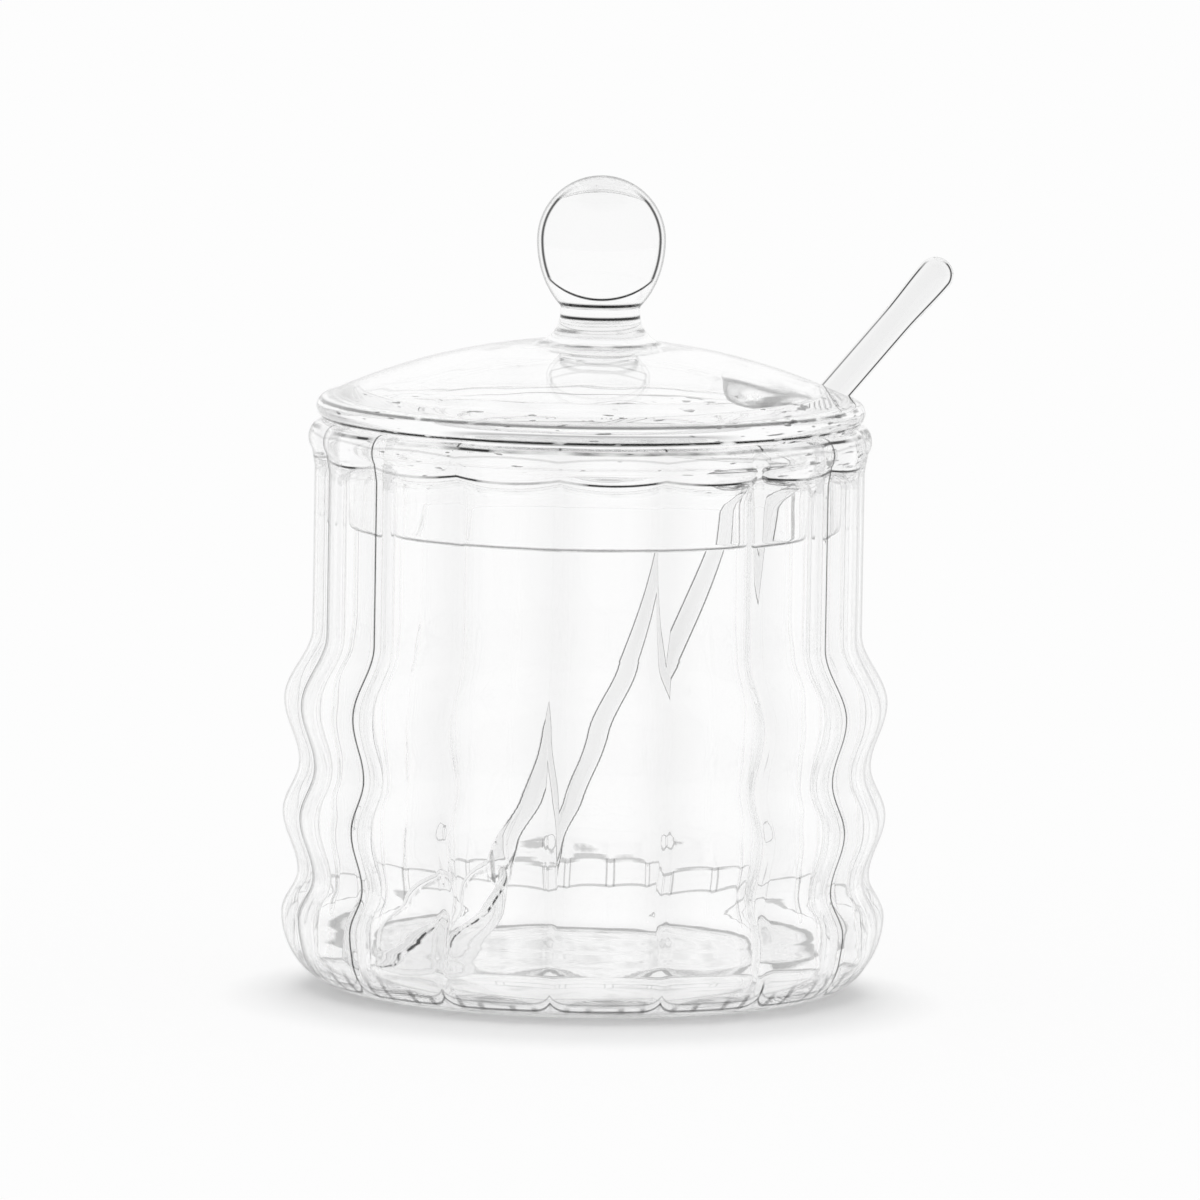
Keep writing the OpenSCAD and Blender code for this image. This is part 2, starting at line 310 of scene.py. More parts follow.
edge_r = EDGE_D / 2
edge_x = LID_D / 2 - edge_r
edge_z = POT_H + LID_REST + edge_r
edge_angle = math.degrees(math.asin(edge_x / DOME_R))
dome_z = edge_z + edge_r - DOME_R * math.cos(math.radians(edge_angle))
under_r = DOME_R - LID_T
knob_z = dome_z + math.sqrt(DOME_R ** 2 - (FLARE_D / 2 + KNOB_OFF) ** 2)
ball_z = knob_z + BALL_LIFT
flare_r = (FLARE_D - NECK_D) / 2
neck_top = (NECK_D / 2, ball_z - BALL_D * NECK_UNDER_BALL)
neck_low = (NECK_D / 2, knob_z + flare_r)
drop = (ball_z - neck_top[1]) / math.sqrt(1 - (NECK_D / BALL_D) ** 2)
skirt_out = SKIRT_D / 2
skirt_in = skirt_out - SKIRT_T
print("middle of the ball", round(ball_z, 1), "mm over the table")

# %% [markdown]
# The section runs from the top of the ball down its neck, out over the dome, round the edge, down and up
# the tube, and back to the axis under the dome. The lower half of the ball is drawn out towards the neck,
# as hot glass is. Two helpers give the points of an arc and of a rounded corner.

# %% Section of the lid
WELD_R = 0.8
NECK_FILLET = 0.8
NECK_STOP = 0.06
FLARE_END = 268
FLARE_GAP = 0.6
DOME_SHORT = 0.3
EDGE_ENDS = (80, -165)
SKIRT_RINGS = (12, 6)
WELD_RUN = 8
UNDER_START = 3


def arc(centre, radius, first, last, count):
    """Points on an arc from one angle to another, in degrees from the radius axis."""
    points = []
    for step in range(count + 1):
        bend = math.radians(first + (last - first) * step / count)
        points.append((centre[0] + radius * math.cos(bend), centre[1] + radius * math.sin(bend)))
    return points


def under_dome(radius):
    """Height of the underside of the dome over a radius."""
    return dome_z + math.sqrt(under_r ** 2 - radius ** 2)


def rounded(before, corner, after, radius, count=6):
    """Points that round a corner between two straight sides."""
    here = Vector(corner)
    back = (Vector(before) - here).normalized()
    on = (Vector(after) - here).normalized()
    half = back.angle(on) / 2
    reach = radius / math.tan(half)
    middle = here + (back + on).normalized() * (radius / math.sin(half))
    first = here + back * reach - middle
    last = here + on * reach - middle
    turn_by = first.angle_signed(last)
    return [tuple(middle + Matrix.Rotation(-turn_by * step / count, 2) @ first) for step in range(count + 1)]


dome_first = math.degrees(math.asin((FLARE_D / 2 + KNOB_OFF + FLARE_GAP) / DOME_R))
under_first = math.degrees(math.asin((skirt_in - UNDER_START) / under_r))
edge_under = (edge_x, under_dome(edge_x))
weld_out = (skirt_out, under_dome(skirt_out))
weld_in = (skirt_in, under_dome(skirt_in))
weld_on = (skirt_in - WELD_RUN, under_dome(skirt_in - WELD_RUN))

lid_section = arc((0, ball_z), BALL_D / 2, 90, 0, count=22)
for bend in steps_between(0, math.acos(NECK_D / BALL_D) - NECK_STOP, count=16)[1:]:
    lid_section.append((BALL_D / 2 * math.cos(bend), ball_z - drop * math.sin(bend)))
lid_section += rounded(lid_section[-1], neck_top, neck_low, NECK_FILLET)
lid_section += arc((FLARE_D / 2, knob_z + flare_r), flare_r, 180, FLARE_END, count=14)
lid_section += arc((0, dome_z), DOME_R, 90 - dome_first, 90 - edge_angle + DOME_SHORT, count=24)
lid_section += arc((edge_x, edge_z), edge_r, *EDGE_ENDS, count=18)
lid_section += rounded(edge_under, weld_out, (skirt_out, SKIRT_LOW), WELD_R)
lid_section += [(skirt_out, SKIRT_LOW + up) for up in SKIRT_RINGS]
lid_section += arc((skirt_out - SKIRT_T / 2, SKIRT_LOW + SKIRT_T / 2), SKIRT_T / 2, 0, -180, count=10)
lid_section += [(skirt_in, SKIRT_LOW + up) for up in reversed(SKIRT_RINGS)]
lid_section += rounded((skirt_in, SKIRT_LOW), weld_in, weld_on, WELD_R)
lid_section += arc((0, dome_z), under_r, 90 - under_first, 90, count=44)
lid_section[0] = (0, ball_z + BALL_D / 2)
lid_section[-1] = (0, dome_z + under_r)
print("section of the lid:", len(lid_section), "points")

# %% [markdown]
# Two tools serve the lid and the spoon. One selects points by their place and opens edit mode. The other is
# a Boolean that cuts a piece away or joins it on. A Boolean leaves doubled points and many-sided faces
# along its seam. Merged and split into triangles there, the mesh stays closed.

# %% Tools: select points, cut and join
SEAM_MERGE_MM = 0.004
SHARP_ANGLE = math.radians(50)


def pick(piece):
    """Selects just this piece and makes it the active one."""
    bpy.ops.object.select_all(action="DESELECT")
    bpy.context.view_layer.objects.active = piece
    piece.select_set(True)


def select_points(piece, wanted):
    """Opens edit mode with just the wanted points selected."""
    bpy.ops.object.mode_set(mode="EDIT")
    bpy.ops.mesh.select_all(action="DESELECT")
    bpy.ops.object.mode_set(mode="OBJECT")
    for vertex in piece.data.vertices:
        vertex.select = wanted(vertex.co)
    bpy.ops.object.mode_set(mode="EDIT")


def combine(piece, other, operation):
    """Cuts another piece away from a piece or joins it on, and cleans the seam."""
    pick(piece)
    seam = piece.modifiers.new("seam", "BOOLEAN")
    seam.operation = operation
    seam.solver = "EXACT"
    seam.object = other
    bpy.ops.object.modifier_apply(modifier=seam.name)
    bpy.data.objects.remove(other)
    bpy.ops.object.mode_set(mode="EDIT")
    bpy.ops.mesh.select_all(action="SELECT")
    bpy.ops.mesh.remove_doubles(threshold=SEAM_MERGE_MM * MM)
    bpy.ops.mesh.select_all(action="DESELECT")
    bpy.ops.mesh.select_face_by_sides(number=4, type="GREATER")
    bpy.ops.mesh.quads_convert_to_tris(quad_method="BEAUTY", ngon_method="BEAUTY")
    bpy.ops.object.mode_set(mode="OBJECT")
    bpy.ops.object.shade_smooth_by_angle(angle=SHARP_ANGLE)


print("seams are merged at", SEAM_MERGE_MM, "mm")

# %% [markdown]
# At the inner end of the slot the plate is thicker: a drop of hot glass was gathered there before the cut,
# and it shows through the dome as a dark patch, partly by its shape and partly by painted shade. The plate's
# underside is cut finer there and lowered into a rounded drop, deeper towards the axis. The knob stands a
# little off the axis, made by hand.

# %% Lid: spin, set the knob, lower the gather
LID_STEPS = 200
KNOB_TURN = math.radians(-20)
NEAR_MM = 0.01
ON_PLATE_MM = 0.05
GATHER_AT = 30.0
GATHER_LONG = 7.5
GATHER_WIDE = 7.2
GATHER_DEEP = 6.0
GATHER_FALL = 0.3
GATHER_ROUND = 0.32
GATHER_MARGIN = 1.5
GATHER_CUTS = 3


def inside_gather(place, more=0.0):
    """1 in the middle of the gather, 0 at its edge and less outside, with the edge so many mm further out."""
    along = (place.x / MM - GATHER_AT) / (GATHER_LONG + more)
    aside = place.y / MM / (GATHER_WIDE + more)
    return 1 - along ** 2 - aside ** 2


def under_plate(place):
    """Whether a point lies on the underside of the plate."""
    return abs((place / MM - Vector((0, 0, dome_z))).length - under_r) < ON_PLATE_MM


def gather(place):
    """Share of the gather's depth over a place: 1 in its middle, 0 outside it."""
    return max(0, inside_gather(place)) ** GATHER_ROUND


lid = spin_section("lid_glass", lid_section, LID_STEPS, 180 / LID_STEPS)
for vertex in lid.data.vertices:
    if vertex.co.z > (knob_z - NEAR_MM) * MM:
        vertex.co.x += KNOB_OFF * math.cos(KNOB_TURN) * MM
        vertex.co.y += KNOB_OFF * math.sin(KNOB_TURN) * MM
select_points(lid, lambda place: under_plate(place) and inside_gather(place, GATHER_MARGIN) > 0)
bpy.ops.mesh.subdivide(number_cuts=GATHER_CUTS)
bpy.ops.object.mode_set(mode="OBJECT")
for vertex in lid.data.vertices:
    if under_plate(vertex.co):
        deep = GATHER_DEEP - GATHER_FALL * (vertex.co.x / MM - GATHER_AT)
        vertex.co.z -= deep * gather(vertex.co) * MM
describe(lid)

# %% [markdown]
# The slot for the spoon is sawn through the plate and the tube: a U with a round inner end. A half round
# bar, drawn out past the edge, makes the shape of the saw's cut, and a Boolean takes it away. An attribute
# then notes where the gather is, for the glass to read later.

# %% Lid: cut the slot
SLOT_W = 10.0
SLOT_IN = 33.0
SLOT_OUT = 30.0
SAW_SIDES = 192
SAW_LONG = 60
SAW_Z = 80
GATHER_OVER_Z = SKIRT_LOW + 14
GATHER_WITHIN = skirt_in - 0.6
GATHER_UNDER = under_r + 0.1

slot_middle = (SLOT_IN + SLOT_W / 2) * MM
bpy.ops.object.select_all(action="DESELECT")
bpy.ops.mesh.primitive_cylinder_add(
    vertices=SAW_SIDES, radius=SLOT_W / 2 * MM, depth=SAW_LONG * MM, location=(slot_middle, 0, SAW_Z * MM))
saw_cut = bpy.context.object
bpy.ops.object.transform_apply(location=True, rotation=True, scale=True)
select_points(saw_cut, lambda place: place.x > slot_middle - NEAR_MM * MM)
bpy.ops.transform.translate(value=(SLOT_OUT * MM, 0, 0))
bpy.ops.object.mode_set(mode="OBJECT")
combine(lid, saw_cut, "DIFFERENCE")
gathered = lid.data.attributes.new("gathered", "FLOAT", "POINT")
for vertex in lid.data.vertices:
    place = vertex.co / MM
    within = place.xy.length < GATHER_WITHIN and (place - Vector((0, 0, dome_z))).length < GATHER_UNDER
    if within and place.z > GATHER_OVER_Z:
        gathered.data[vertex.index].value = gather(vertex.co)
describe(lid)

# %% [markdown]
# The spoon is a drawn glass rod, bent a little where it leans on the rim, with a round bowl melted on. The
# rod is spun upright with its thickened end and its bead at the heel, bent, and then laid on its slope.
# Blender's bend tool needs a window, so the points are moved along an arc in code.

# %% Spoon: rod
ROD_D = 5.0
HANDLE_D = 4.9
END_D = 5.7
END_LONG = 10
HEEL_D = 6.4
HEEL_ENDS = (-75, 35)
HEEL_RUN = ((0.05, 3.4), (0.0, 5.0))
HEEL_AT = (-13.732, 19.171)
ROD_FROM = 8
ROD_SLOPE = 54.0
BEND_AT = 84.41
BEND = math.radians(6.5)
BEND_LENGTH = 10.0
BEND_REACH = 8
# A hair less than the solid's 32, so that the round end stays inside the solid's box
HANDLE_LONG = 31.98
HANDLE_END = BEND_AT + HANDLE_LONG
SPOON_STEPS = 48

rod_section = [(0, -HEEL_D / 2)]
rod_section += arc((0, 0), HEEL_D / 2, *HEEL_ENDS, count=14)
rod_section += [(ROD_D / 2 + more, along) for more, along in HEEL_RUN]
rod_rings = steps_between(ROD_FROM, BEND_AT - BEND_REACH, count=30)
rod_rings += steps_between(BEND_AT - BEND_REACH, BEND_AT + BEND_REACH, count=40)
rod_rings += steps_between(BEND_AT + BEND_REACH, HANDLE_END - END_LONG, count=10)
for along in rod_rings:
    taper = min(max((along - BEND_AT + BEND_REACH) / (2 * BEND_REACH), 0), 1)
    rod_section.append((ROD_D / 2 + (HANDLE_D - ROD_D) / 2 * taper, along))
for along in steps_between(HANDLE_END - END_LONG, HANDLE_END, count=8):
    swell = (1 - math.cos(math.pi * (along - HANDLE_END + END_LONG) / END_LONG)) / 2
    rod_section.append((HANDLE_D / 2 + (END_D - HANDLE_D) / 2 * swell, along))
rod_section += arc((0, HANDLE_END), END_D / 2, 0, 90, count=12)
rod_section[-1] = (0, HANDLE_END + END_D / 2)


def bend_rod(vertex):
    """Moves a point of the straight rod to its place on the bent one."""
    start = (BEND_AT - BEND_LENGTH / 2) * MM
    length = BEND_LENGTH * MM
    passed = min(max(vertex.co.z - start, 0), length)
    bent = BEND * passed / length
    if bent == 0:
        return
    radius = length / BEND
    rest = vertex.co.z - start - passed
    side = radius * (1 - math.cos(bent)) + rest * math.sin(bent)
    up = start + radius * math.sin(bent) + rest * math.cos(bent)
    across = vertex.co.x
    vertex.co.x = side + across * math.cos(bent)
    vertex.co.z = up - across * math.sin(bent)


def settle(piece, tilt, place):
    """Turns a piece about Y by an angle in degrees and puts it at a place in the plane of the spoon."""
    pick(piece)
    piece.rotation_euler = (0, math.radians(tilt), 0)
    piece.location = (place[0] * MM, 0, place[1] * MM)
    bpy.ops.object.transform_apply(location=True, rotation=True, scale=True)


spoon = spin_section("spoon_glass", rod_section, SPOON_STEPS)
for vertex in spoon.data.vertices:
    bend_rod(vertex)
settle(spoon, 90 - ROD_SLOPE, HEEL_AT)
describe(spoon)

# %% [markdown]
# The bowl is a shallow part of a ball, spun as a shell with a round rim and tilted. It could stay a piece
# of its own, but then the rod would show inside its wall. A Boolean joins the two, so that the glass is one
# body.

# %% Spoon: bowl, joined to the rod
BOWL_T = 2.0
BOWL_R = 14.918
BOWL_RISE = 7.318
BOWL_SLOPE = 31.5
BOWL_AT = (-28.640, 18.618)
BOWL_STEPS = 128
RIM_GAP = 1

rim_angle = -math.degrees(math.asin(BOWL_RISE / BOWL_R))
rim_middle = (BOWL_R * math.cos(math.radians(rim_angle)), -BOWL_RISE)
bowl_section = arc((0, 0), BOWL_R + BOWL_T / 2, -90, rim_angle - RIM_GAP, count=26)
bowl_section += arc(rim_middle, BOWL_T / 2, rim_angle, rim_angle + 180, count=10)
bowl_section += arc((0, 0), BOWL_R - BOWL_T / 2, rim_angle - RIM_GAP, -90, count=26)
bowl_section[0] = (0, -BOWL_R - BOWL_T / 2)
bowl_section[-1] = (0, -BOWL_R + BOWL_T / 2)
bowl = spin_section("spoon_bowl_glass", bowl_section, BOWL_STEPS)
settle(bowl, -BOWL_SLOPE, BOWL_AT)
combine(spoon, bowl, "UNION")
describe(spoon)

# %% [markdown]
# All three pieces are clear borosilicate glass, IOR 1.47. Materials are built from nodes, and one function
# adds any node: an input that is given an output is linked to it, any other input is set. Colours are
# written as they look on the screen, in sRGB, and one function turns them into the linear values that
# Blender works in.

# %% Colours and nodes
def linear(hex_colour):
    """An sRGB hex colour as linear RGBA."""
    channels = [int(hex_colour[place:place + 2], 16) / 255 for place in (1, 3, 5)]
    return tuple(c / 12.92 if c <= 0.04045 else ((c + 0.055) / 1.055) ** 2.4 for c in channels) + (1.0,)


def add_node(tree, kind, inputs=None, **settings):
    """Adds one node with its settings, and links each input to an output or sets it to a value."""
    node = tree.nodes.new("ShaderNode" + kind)
    for name, value in settings.items():
        setattr(node, name, value)
    for name, value in (inputs or {}).items():
        if isinstance(value, bpy.types.NodeSocket):
            tree.links.new(value, node.inputs[name])
        else:
            node.inputs[name].default_value = value
    return node


def paint_ramp(ramp, stops):
    """Sets the stops of a colour ramp."""
    while len(ramp.elements) < len(stops):
        ramp.elements.new(0.5)
    for element, (position, colour) in zip(ramp.elements, stops):
        element.position = position
        element.color = linear(colour)


print("middle grey #808080 is", round(linear("#808080")[0], 3), "in linear light")

# %% [markdown]
# On white, clear glass is known by its dark lines: a thick place bends the light from the dark parts of a
# studio to the eye. They could come from black cards round the pot, but those would darken it from every
# other side. So each line is painted shade, drawn into the glass's colour as a share from 0 to 1 of black. A
# share is a product of simpler ones: how near a height, how far across a lobe, how far the face turns from
# the eye, and a noise that breaks or spreads the line.

# %% Shares and lines
LINE_CORE = 0.4
NOISE_ROUGHNESS = 0.4


def share_of(tree, *shares):
    """Product of outputs, numbers, or (value, none, full), which is 0 at none and rises to 1 at full."""
    product = None
    for share in shares:
        if isinstance(share, tuple):
            value, none, full = share
            rise = add_node(tree, "MapRange", {"Value": value, "From Min": none, "From Max": full})
            share = rise.outputs["Result"]
        if product is None:
            product = share
        else:
            product = add_node(tree, "Math", {0: product, 1: share}, operation="MULTIPLY").outputs["Value"]
    return product


def line_at(tree, value, level, half):
    """1 along a level of a value, fading out half to either side of it."""
    above = add_node(tree, "Math", {0: value, 1: level}, operation="SUBTRACT")
    off = add_node(tree, "Math", {0: above.outputs["Value"]}, operation="ABSOLUTE")
    return share_of(tree, (off.outputs["Value"], half, half * LINE_CORE))


def flow_and_line_noise(tree, place, size_mm, squeeze=1.0, detail=2.0):
    """Noise of that size, squeezed in height so many times, for bumps and for breaks in painted shade."""
    drawn = add_node(tree, "Mapping", {"Vector": place, "Scale": (1, 1, squeeze)})
    marks = add_node(tree, "TexNoise", {
        "Vector": drawn.outputs["Vector"], "Scale": 1 / (size_mm * MM), "Detail": detail,
        "Roughness": NOISE_ROUGHNESS})
    return marks.outputs["Fac"]


print("a line is full over", LINE_CORE, "of its half width")

# %% [markdown]
# Every glass starts with the same measures: which side of the wall a ray meets, how far the face turns from
# the eye (Layer Weight), how far it leans, and the place in mm. It ends with the same shader. Light that
# runs a long way inside the wall loses a little, which is absorption in the volume, and glass seen nearly
# edge-on is painted grey, as painted shade for the dark it would bend from a studio. A faint waviness in the
# normal is the maker's hand. Shadow rays pass most of their light straight on, which keeps the shadow as
# pale as that of clear glass.

# %% Start and finish of a glass
GLASS_IOR = 1.47
# Black of the painted dark lines, which stand for light bent from the dark of a studio
LINE_COLOUR = "#000000"
ABSORB_COLOUR = "#c6c6c6"
ABSORB_PER_M = 3.5
SHADOW_COLOUR = "#f4f4f4"


def start_glass(name):
    """A glass material with what its lines are worked out from: side, slant, lean, and place in mm."""
    glass = bpy.data.materials.new(name)
    glass.use_nodes = True
    tree = glass.node_tree
    tree.nodes.clear()
    face = add_node(tree, "NewGeometry")
    edge = add_node(tree, "LayerWeight", {"Blend": 0.5})
    place = add_node(tree, "TexCoord").outputs["Object"]
    in_mm = add_node(tree, "VectorMath", {0: place, 1: (MM, MM, MM)}, operation="DIVIDE").outputs["Vector"]
    spot = add_node(tree, "SeparateXYZ", {"Vector": in_mm})
    flat = add_node(tree, "VectorMath", {0: in_mm, 1: (1, 1, 0)}, operation="MULTIPLY")
    reach = add_node(tree, "VectorMath", {0: flat.outputs["Vector"]}, operation="LENGTH")
    lean = add_node(tree, "SeparateXYZ", {"Vector": face.outputs["Normal"]}).outputs["Z"]
    lying = add_node(tree, "Math", {0: lean}, operation="ABSOLUTE")
    back = face.outputs["Backfacing"]
    front = add_node(tree, "Math", {0: 1.0, 1: back}, operation="SUBTRACT").outputs["Value"]
    facing = share_of(tree, edge.outputs["Facing"], front)
    return SimpleNamespace(
        glass=glass,
        tree=tree,
        place=place,
        in_mm=in_mm,
        front=front,
        facing=facing,
        slant=facing,
        lean=lean,
        lying=lying.outputs["Value"],
        across_x=spot.outputs["X"],
        across_y=spot.outputs["Y"],
        height=spot.outputs["Z"],
        reach=reach.outputs["Value"])


def finish_glass(melt, edge_stops, dark_lines, wave_mm, stretch, wave_depth_mm, ridges=0.0):
    """Joins painted edge shade and lines, waves and ridges, absorption and pale shadow into one glass."""
    tree = melt.tree
    waves = flow_and_line_noise(tree, melt.place, wave_mm, 1 / stretch, 1.0)
    lumps = add_node(tree, "Math", {0: waves, 1: ridges}, operation="ADD")
    surface = add_node(tree, "Bump", {
        "Strength": 1.0, "Distance": wave_depth_mm * MM, "Height": lumps.outputs["Value"]})
    # Painted shade on faces seen nearly edge-on, then the painted dark lines over it
    edge_shade = add_node(tree, "ValToRGB", {"Fac": melt.slant})
    paint_ramp(edge_shade.color_ramp, edge_stops)
    colour = edge_shade.outputs["Color"]
    for line in dark_lines:
        drawn = add_node(tree, "MixRGB", {"Fac": line, "Color1": colour, "Color2": linear(LINE_COLOUR)})
        colour = drawn.outputs["Color"]
    clear = add_node(tree, "BsdfPrincipled", {
        "Base Color": colour, "Normal": surface.outputs["Normal"], "Roughness": 0.0, "IOR": GLASS_IOR,
        "Transmission Weight": 1.0})
    through = add_node(tree, "BsdfTransparent", {"Color": linear(SHADOW_COLOUR)})
    ray = add_node(tree, "LightPath")
    mixed = add_node(tree, "MixShader", {
        0: ray.outputs["Is Shadow Ray"], 1: clear.outputs["BSDF"], 2: through.outputs["BSDF"]})
    inside = add_node(tree, "VolumeAbsorption", {"Color": linear(ABSORB_COLOUR), "Density": ABSORB_PER_M})
    add_node(tree, "OutputMaterial", {
        "Surface": mixed.outputs["Shader"], "Volume": inside.outputs["Volume"]})
    print(melt.glass.name, "with", len(dark_lines), "dark lines,", len(tree.nodes), "nodes")


print("clear glass, IOR", GLASS_IOR)

# %% [markdown]
# The pot's glass was blown into a mould: a thin, smooth wall, so its painted dark lines stand for the light
# that its thick places bend. First come the measures: the place across a lobe, the outer and the inner face,
# and the heights of four scalloped painted lines, which bend towards the grooves as a lobed foot and a lobed
# rim do. Broad upright waves in the wall make what is seen through it swim a little.

# %% Glass of the pot: measures
# Painted shade where thin glass is seen nearly edge-on
WALL_EDGE_SHADE = ((0.79, "#ffffff"), (0.87, "#a2a2a2"), (1.0, "#525252"))
# Waves are (width in mm, how many times taller than wide, depth in mm)
POT_WAVES = (9.0, 4.0, 0.03)
# Pairs are (none, full): the values at which a share is 0 and 1
OUTER_SIDE = (0.6, 0.9)
INNER_SIDE = (0.4, 0.1)
UPRIGHT = (0.9, 0.7)
SCALLOP_POWER = 9.0
WAVE_POWER = 2.0
FOOT_Z = 1.5
FOOT_TOP_Z = 2.8
FOOT_CUSP = 1.5
RIM_LOW_Z = POT_H - 5.6
RIM_RUN_Z = RIM_Z + 1.2
RIM_CUSP = 0.6

melt = start_glass("borosilicate_mould_blown")
pot_glass = melt.glass
tree = melt.tree
across = add_node(tree, "Attribute", attribute_name="across").outputs["Fac"]
outside = add_node(tree, "Attribute", attribute_name="outside").outputs["Fac"]
melt.slant = share_of(tree, melt.facing, (melt.lying, *UPRIGHT))
outer = share_of(tree, melt.front, (outside, *OUTER_SIDE))
inner = share_of(tree, melt.front, (outside, *INNER_SIDE))
scallop = add_node(tree, "Math", {0: across, 1: SCALLOP_POWER}, operation="POWER").outputs["Value"]
wave = add_node(tree, "Math", {0: across, 1: WAVE_POWER}, operation="POWER").outputs["Value"]
levels = {}
for name, bend, cusp, base in (
        ("foot", scallop, FOOT_CUSP, FOOT_Z),
        ("foot top", scallop, FOOT_CUSP, FOOT_TOP_Z),
        ("rim", wave, RIM_CUSP, RIM_LOW_Z),
        ("rim run", wave, -RIM_CUSP, RIM_RUN_Z)):
    curve = add_node(tree, "Math", {0: bend, 1: cusp, 2: base}, operation="MULTIPLY_ADD")
    levels[name] = curve.outputs["Value"]
print("scalloped lines:", ", ".join(levels))

# %% [markdown]
# Outside, painted dark lines run along the pot's grooves where they turn away from the eye, a double
# scalloped line and short strokes at the foot, and the edges of the rim, over a faint painted shade towards
# the grooves. A noise breaks and dashes the rim's lines, most of all towards the spoon. A line is given as
# (half width, darkness), in mm or, across a lobe, as a share of half the lobe.

# %% Glass of the pot: lines outside
# Painted shade across a lobe towards its grooves, then a painted dark line along each groove
GROOVE_SHADE = (0.3, 0.95)
GROOVE_SHADE_DARK = 0.12
GROOVE = (0.962, 0.99)
GROOVE_TURN = (0.31, 0.36)
GROOVE_UP = (1.0, 4.0)
FOOT_LINE = (0.30, 0.9)
FOOT_TOP_LINE = (0.20, 0.6)
STROKE_LINE = (0.08, 0.75)
STROKES_AT = (0.3, 0.7)
STROKE_TURN = (0.42, 0.5)
STROKE_FROM = (0.8, 1.6)
STROKE_TO = (6.0, 3.5)
RIM_UP = (POT_H - RIM_H - 0.8, POT_H - RIM_H)
RIM_OUT = (RIM_R - 0.6, RIM_R)
RIM_LINE_HALF = 0.28
RIM_LINE_PALE = 0.5
RIM_RUN_LINE = (0.22, 0.4)
RIM_HIGH_Z = POT_H - 0.7
RIM_HIGH_HALF = 0.36
BREAK_MM = 9.0
BREAK_ENDS = (0.38, 0.56)
SPOON_SIDE = (0.0, 40.0)
DASH_MM = 3.5
DASH_SQUEEZE = 6.0
DASH_TO_SPOON = 0.11
DASH_ENDS = (0.70, 0.73)
DASH_DARK = 0.85


def drawn_line(tree, value, level, line, *where):
    """A line of (half width, darkness) along a level of a value, within the other shares."""
    half, dark = line
    return share_of(tree, *where, line_at(tree, value, level, half), dark)


def towards_spoon(melt, marks, more):
    """Noise with so much more added towards the spoon, for where painted lines break or dash."""
    near = share_of(melt.tree, (melt.across_x, *SPOON_SIDE))
    raised = add_node(melt.tree, "Math", {0: near, 1: more, 2: marks}, operation="MULTIPLY_ADD")
    return raised.outputs["Value"]


on_rim = share_of(tree, outer, (melt.height, *RIM_UP), (melt.reach, *RIM_OUT))
broken = share_of(tree, (flow_and_line_noise(tree, melt.place, BREAK_MM), *BREAK_ENDS))
paler = add_node(tree, "Math", {0: broken, 1: 1 - RIM_LINE_PALE, 2: RIM_LINE_PALE}, operation="MULTIPLY_ADD")
dashes = towards_spoon(melt, flow_and_line_noise(tree, melt.place, DASH_MM, DASH_SQUEEZE), DASH_TO_SPOON)
at_foot = share_of(
    tree, outer, (melt.facing, *STROKE_TURN), (melt.height, *STROKE_FROM), (melt.height, *STROKE_TO))
pot_lines = [
    share_of(tree, outer, (across, *GROOVE_SHADE), GROOVE_SHADE_DARK),
    share_of(tree, outer, (across, *GROOVE), (melt.facing, *GROOVE_TURN), (melt.height, *GROOVE_UP)),
    drawn_line(tree, melt.height, levels["foot"], FOOT_LINE, outer),
    drawn_line(tree, melt.height, levels["foot top"], FOOT_TOP_LINE, outer),
    share_of(tree, outer, line_at(tree, melt.height, levels["rim"], RIM_LINE_HALF), paler.outputs["Value"]),
    share_of(tree, on_rim, (dashes, *DASH_ENDS), DASH_DARK),
    drawn_line(tree, melt.height, levels["rim run"], RIM_RUN_LINE, on_rim),
    share_of(tree, on_rim, line_at(tree, melt.height, RIM_HIGH_Z, RIM_HIGH_HALF), broken),
]
for stroke_at in STROKES_AT:
    pot_lines.append(drawn_line(tree, across, stroke_at, STROKE_LINE, at_foot))
print("lines outside the pot:", len(pot_lines))

# %% [markdown]
# Inside, painted dark lines stand for the dark that the far wall bends to the eye: a row of cells round the
# lowest ripple and the edge of the floor, with faint streaks of painted shade on the floor that show from a
# low eye. They are drawn only where a ray meets the wall from the inside of the pot. So the far wall has
# them, and the near wall stays clear for them to be seen through.

# %% Glass of the pot: lines inside
CELL_Z = 12.0
CELL_HALF_H = 2.0
CELL_ENDS = (CELL_HALF_H + 0.2, CELL_HALF_H)
CELL_LINE = (0.30, 0.62)
CELL_SIDE_AT = 0.84
CELL_SIDE_LINE = (0.06, 0.62)
FLOOR_EDGE_Z = 3.3
FLOOR_EDGE_LINE = (0.75, 0.78)
FLOOR_ENDS = (FLOOR_T + 0.4, FLOOR_T + 0.2)
STREAK_MM = 7.0
STREAK_ENDS = (0.50, 0.66)
STREAK_TURN = (0.45, 0.75)
STREAK_DARK = 0.4

over_cell = add_node(tree, "Math", {0: melt.height, 1: CELL_Z}, operation="SUBTRACT").outputs["Value"]
cell_off = add_node(tree, "Math", {0: over_cell}, operation="ABSOLUTE").outputs["Value"]
# Streaks of painted shade on the floor
streaks = flow_and_line_noise(tree, melt.place, STREAK_MM)
on_floor = share_of(tree, inner, (melt.height, *FLOOR_ENDS), (melt.facing, *STREAK_TURN))
pot_lines += [
    drawn_line(tree, cell_off, CELL_HALF_H, CELL_LINE, inner),
    drawn_line(tree, across, CELL_SIDE_AT, CELL_SIDE_LINE, inner, (cell_off, *CELL_ENDS)),
    drawn_line(tree, melt.height, FLOOR_EDGE_Z, FLOOR_EDGE_LINE, inner),
    share_of(tree, on_floor, (streaks, *STREAK_ENDS), STREAK_DARK),
]
finish_glass(melt, WALL_EDGE_SHADE, pot_lines, *POT_WAVES)
